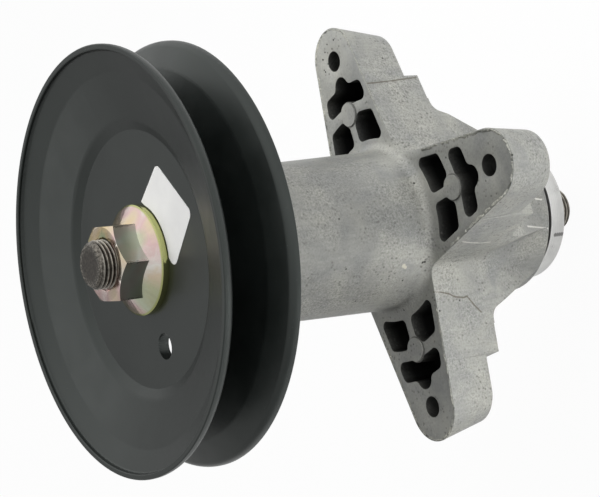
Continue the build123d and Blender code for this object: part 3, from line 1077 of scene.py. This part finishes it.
@dataclass
class SpindleShaft:
    """The shaft, with threads cut on both ends and a bright turned collar. In millimetres."""

    thread_radius: float = 7.9375
    thread_pitch: float = 1.411
    thread_depth: float = 0.66
    chamfer: float = 1.3
    stub_end: float = -63.699
    collar_low: float = -45.4
    collar_high: float = -38.9
    collar_radius: float = 24.0
    collar_edge: float = 0.6
    hub_radius: float = 13.0
    hub_high: float = -32.8
    journal_radius: float = 10.0
    journal_high: float = 111.7
    seat_radius: float = 9.5
    seat_flat: float = 8.0
    seat_high: float = 115.4
    shaft_high: float = 134.699
    overlap: float = 2.0
    weld: float = 0.0005
    sides: int = 128
    ridge: tuple[Flat, ...] = ((0.0, 0.0), (0.10, 0.0), (0.26, 0.5), (0.42, 1.0), (0.55, 1.0), (0.68, 1.0), (0.84, 0.5))

    def build(self) -> None:
        """Makes the shaft."""
        work = bmesh.new()
        self.turned(work)
        self.thread(work, self.stub_end, self.collar_low)
        self.thread(work, self.seat_high, self.shaft_high)
        mesh = mesh_of(work, "shaft_mesh")
        smooth(mesh, 32.0)
        journal = Steel("journal_steel", (0.16, 0.155, 0.145), (0.34, 0.33, 0.31), (0.25, 0.4))
        smear = tuple(((-14.6, -19.1, z), 0.9) for z in (-45.2, -44.2, -43.2, -42.2, -41.2))
        collar = Steel("bright_collar", (0.62, 0.62, 0.605), (0.85, 0.85, 0.83), (0.26, 0.38), 2.2, 0.01, smear)
        shaft = new_piece("threaded_shaft", mesh, Body.ROTOR, CutThread(), journal, collar, SawnEnd())
        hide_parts("spindle_shaft")

    def turned(self, work: bmesh.types.BMesh) -> None:
        """Adds the plain turned part between the two threads.

        Args:
            work: the mesh to add to.
        """
        core = self.thread_radius - self.thread_depth - 0.1
        edge, ease = self.collar_edge, 0.3 * self.collar_edge
        wide, low, high = self.collar_radius, self.collar_low, self.collar_high
        stub = [(0.0, low - self.overlap), (core, low - self.overlap)]
        collar = [(core, low), (wide - edge, low), (wide - ease, low + ease), (wide, low + edge),
                  (wide, high - edge), (wide - ease, high - ease), (wide - edge, high)]
        upper = [(self.hub_radius, high), (self.hub_radius, self.hub_high),
                 (self.journal_radius, self.hub_high), (self.journal_radius, self.journal_high),
                 (self.seat_radius, self.journal_high), (self.seat_radius, self.seat_high),
                 (core, self.seat_high), (core, self.seat_high + self.overlap), (0.0, self.seat_high + self.overlap)]
        bands = ((Turning.JOURNAL, stub), (Turning.COLLAR, collar), (Turning.JOURNAL, upper))
        rings = [(radius, height, slot) for slot, band in bands for radius, height in band]
        rows = []
        for radius, height, _ in rings:
            count = self.sides if radius else 1
            row = []
            for i in range(count):
                angle = 2 * math.pi * i / self.sides
                x, y = radius * math.cos(angle), radius * math.sin(angle)
                if radius == self.seat_radius:
                    x = max(-self.seat_flat, min(self.seat_flat, x))
                row.append(work.verts.new(Vector((x, y, height)) * MM))
            rows.append(row)
        for (low, high), (_, _, slot) in zip(zip(rows, rows[1:]), rings):
            for i in range(self.sides):
                ring = (low[i % len(low)], low[(i + 1) % len(low)], high[(i + 1) % len(high)], high[i % len(high)])
                face = work.faces.new(tuple(dict.fromkeys(ring)))
                face.material_index = slot

    def thread(self, work: bmesh.types.BMesh, low: float, high: float) -> None:
        """Adds a threaded end whose ridges follow the helix, with both ends chamfered and closed.

        Args:
            work: the mesh to add to.
            low: height of its lower end.
            high: height of its upper end.
        """
        pitch = self.thread_pitch
        shape = self.ridge
        turns = math.ceil((high - low) / pitch) + 3
        part = bmesh.new()
        rows = []
        for step in range(turns * len(shape)):
            phase, depth = shape[step % len(shape)]
            start = low + (step // len(shape) - 2 + phase) * pitch
            row = []
            for i in range(self.sides):
                angle = 2 * math.pi * i / self.sides
                height = min(high, max(low, start + pitch * i / self.sides))
                ease = self.thread_radius - self.chamfer + min(high - height, height - low)
                radius = min(self.thread_radius - self.thread_depth * depth, ease)
                row.append(part.verts.new(Vector((radius * math.cos(angle), radius * math.sin(angle), height)) * MM))
            rows.append(row)
        last = self.sides - 1
        for step in range(len(rows) - 1):
            low_row, high_row = rows[step], rows[step + 1]
            for i in range(last):
                part.faces.new((low_row[i], low_row[i + 1], high_row[i + 1], high_row[i]))
            if step + len(shape) + 1 < len(rows):
                ahead, above = rows[step + len(shape)], rows[step + len(shape) + 1]
                part.faces.new((low_row[last], ahead[0], above[0], high_row[last]))
        bmesh.ops.remove_doubles(part, verts=part.verts, dist=self.weld * MM)
        bmesh.ops.dissolve_degenerate(part, edges=part.edges, dist=self.weld * MM)
        open_edges = [e for e in part.edges if e.is_boundary]
        caps = bmesh.ops.holes_fill(part, edges=open_edges, sides=0)["faces"]
        for face in caps:
            face.material_index = Turning.END_FACE
        bmesh.ops.recalc_face_normals(part, faces=part.faces)
        bmesh.ops.triangulate(part, faces=[f for f in part.faces if len(f.verts) > 4])
        mesh = mesh_of(part, "thread_part")
        work.from_mesh(mesh)
        bpy.data.meshes.remove(mesh)


@dataclass
class InnerPieces:
    """Bearings and spacers inside the housing."""

    ground: Steel = Steel("bearing_steel", (0.42, 0.43, 0.44), (0.6, 0.61, 0.62), (0.12, 0.22))
    drawn: Steel = Steel("drawn_steel", (0.25, 0.25, 0.25), (0.42, 0.42, 0.41), (0.3, 0.45))
    rubber: Moulding = Moulding("seal_rubber", (0.012, 0.012, 0.012), (0.022, 0.022, 0.021), 0.55)
    nylon: Moulding = Moulding("cage_nylon", (0.55, 0.46, 0.30), (0.62, 0.53, 0.36), 0.4)

    def build(self) -> None:
        """Dresses each inner piece with the finish that the last word of its name calls for."""
        finishes = {"ring": self.ground, "balls": self.ground, "spacer": self.drawn, "seal": self.rubber,
                    "cage": self.nylon}
        materials = {kind: finish.material() for kind, finish in finishes.items()}
        for name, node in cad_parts.items():
            kind = name.rsplit("_", 1)[-1]
            if kind in materials:
                coat(node, materials[kind])


def look_at(place: Point, target: Point, up: Point) -> Matrix:
    """The matrix of something at a place that looks at a target.

    Args:
        place: where it stands.
        target: what it looks at.
        up: the picture's upward direction.

    Returns:
        The matrix.
    """
    back = (Vector(place) - Vector(target)).normalized()
    right = Vector(up).cross(back).normalized()
    turn = Matrix((right, back.cross(right), back)).transposed().to_4x4()
    return Matrix.Translation(Vector(place)) @ turn


@dataclass(frozen=True)
class Lamp:
    """A round soft lamp, which lights the object but isn't seen itself."""

    name: str
    place: Point
    target: Point
    size: float
    watts: float
    mirrored: bool = False

    def hang(self, up: Point) -> None:
        """Hangs the lamp.

        Args:
            up: the picture's upward direction.
        """
        data = bpy.data.lights.new(self.name, "AREA")
        data.shape = "DISK"
        data.size = self.size
        data.energy = self.watts
        lamp = new_object(self.name, data)
        lamp.matrix_world = look_at(self.place, self.target, up)
        lamp.visible_camera = False
        lamp.visible_glossy = self.mirrored


@dataclass
class Studio:
    """White surroundings, soft lamps, a pale floor and the camera. In metres."""

    camera_place: Point = (-0.132475, -0.49205, 0.391029)
    camera_target: Point = (0.003603, 0.024465, 0.038316)
    picture_up: Point = (0.942297, -0.318554, -0.102951)
    lens_mm: float = 107.15
    sensor_mm: float = 36.0
    floor_half: float = 6.0
    floor_glow: float = 0.95
    floor_mirror: float = 0.45
    fill: Flat = (0.2, 1.2)
    fill_turn: Flat = (-0.4, 0.4)
    mirror: Flat = (0.4, 1.0)
    mirror_turn: Flat = (-0.8, 0.5)
    dim: Flat = (1.0, 0.48)
    dim_turn: Flat = (0.89, 0.985)
    dim_toward: Point = (0.25, 0.92, 0.30)
    lamps: tuple[Lamp, ...] = (
        Lamp("key_lamp", (0.0, -1.05, -0.02), (0.0, 0.0, 0.02), 0.55, 6.6),
        Lamp("top_lamp", (0.17, 0.05, 0.16), (0.06, 0.0, 0.02), 0.12, 0.24),
        Lamp("wall_lamp", (-0.19, -0.20, -0.05), (-0.06, -0.015, 0.0), 0.10, 0.42),
        Lamp("back_lamp", (0.22, 0.86, 1.21), (0.0, 0.0, 0.08), 0.8, 0.6, True),
    )

    def build(self) -> None:
        """Makes the stage."""
        scene = bpy.context.scene
        scene.view_settings.view_transform = "Standard"
        self.aim_camera(scene)
        self.white_world(scene)
        self.floor()
        for lamp in self.lamps:
            lamp.hang(self.picture_up)

    def aim_camera(self, scene: bpy.types.Scene) -> None:
        """Stands the camera where the photograph's stood.

        Args:
            scene: the scene that it films.
        """
        data = bpy.data.cameras.new("camera")
        data.lens = self.lens_mm
        data.sensor_width = self.sensor_mm
        data.clip_start = 0.01
        camera = new_object("camera", data)
        camera.matrix_world = look_at(self.camera_place, self.camera_target, self.picture_up)
        scene.camera = camera

    def white_world(self, scene: bpy.types.Scene) -> None:
        """White surroundings to look at, dimmer below and behind the object where they only light it or mirror in it.

        Args:
            scene: the scene that they surround.
        """
        world = bpy.data.worlds.new("white_studio")
        world.use_nodes = True
        graph = Graph(world.node_tree)
        graph.nodes.clear()
        path = graph.add("LightPath").outputs
        way = graph.add("TexCoord").outputs["Generated"]
        above = graph.vector("DOT_PRODUCT", way, self.picture_up)
        behind = graph.vector("DOT_PRODUCT", way, Vector(self.dim_toward).normalized())
        dim = graph.share(behind, *self.dim_turn, self.dim)
        mirror = graph.math("MULTIPLY", dim, graph.share(above, *self.mirror_turn, self.mirror))
        glows = []
        for strength in (graph.share(above, *self.fill_turn, self.fill), mirror, 1.0):
            backdrop = graph.add("Background")
            graph.put(backdrop.inputs["Color"], (1.0, 1.0, 1.0))
            graph.put(backdrop.inputs["Strength"], strength)
            glows.append(backdrop.outputs[0])
        filling, mirrored, seen = glows
        direct = graph.math("MAXIMUM", path["Is Camera Ray"], path["Is Transmission Ray"])
        lit = graph.either(path["Is Glossy Ray"], filling, mirrored)
        graph.put(graph.add("OutputWorld").inputs[0], graph.either(direct, lit, seen))
        scene.world = world

    def floor(self) -> None:
        """A pale floor under the stub, which the camera sees as white with a faint shadow."""
        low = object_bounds()[0][2]
        half = self.floor_half
        mesh = bpy.data.meshes.new("floor_mesh")
        corners = [(-half, -half, low), (half, -half, low), (half, half, low), (-half, half, low)]
        mesh.from_pydata(corners, [], [(0, 1, 2, 3)])
        floor = new_object("floor", mesh)
        tree = Tree("pale_floor")
        pale = tree.ramp(tree.noise(0.02, 3.0), (0.3, 0.80), (0.7, 0.84))
        tree.set(Base_Color=pale, Roughness=0.9, Specular_IOR_Level=0.1)
        path = tree.add("LightPath").outputs
        mirrored = tree.math("MULTIPLY", path["Is Glossy Ray"], self.floor_mirror)
        seen = tree.math("MAXIMUM", path["Is Camera Ray"], mirrored)
        glow = tree.add("Emission").outputs[0]
        shade = tree.either(tree.math("MULTIPLY", seen, self.floor_glow), tree.shader.outputs[0], glow)
        tree.put(tree.nodes["Material Output"].inputs[0], shade)
        mesh.materials.append(tree.material)
        floor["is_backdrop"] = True


def main() -> None:
    """Builds the pieces and the studio in order."""
    logging.basicConfig(level=logging.INFO, format="%(name)s %(message)s")
    for part in (SpindleHousing(), BeltPulley(), FlangeNut(), SpindleShaft(), InnerPieces(), Studio()):
        part.build()
        LOG.info("built %s", type(part).__name__)


if __name__ == "__main__":
    main()
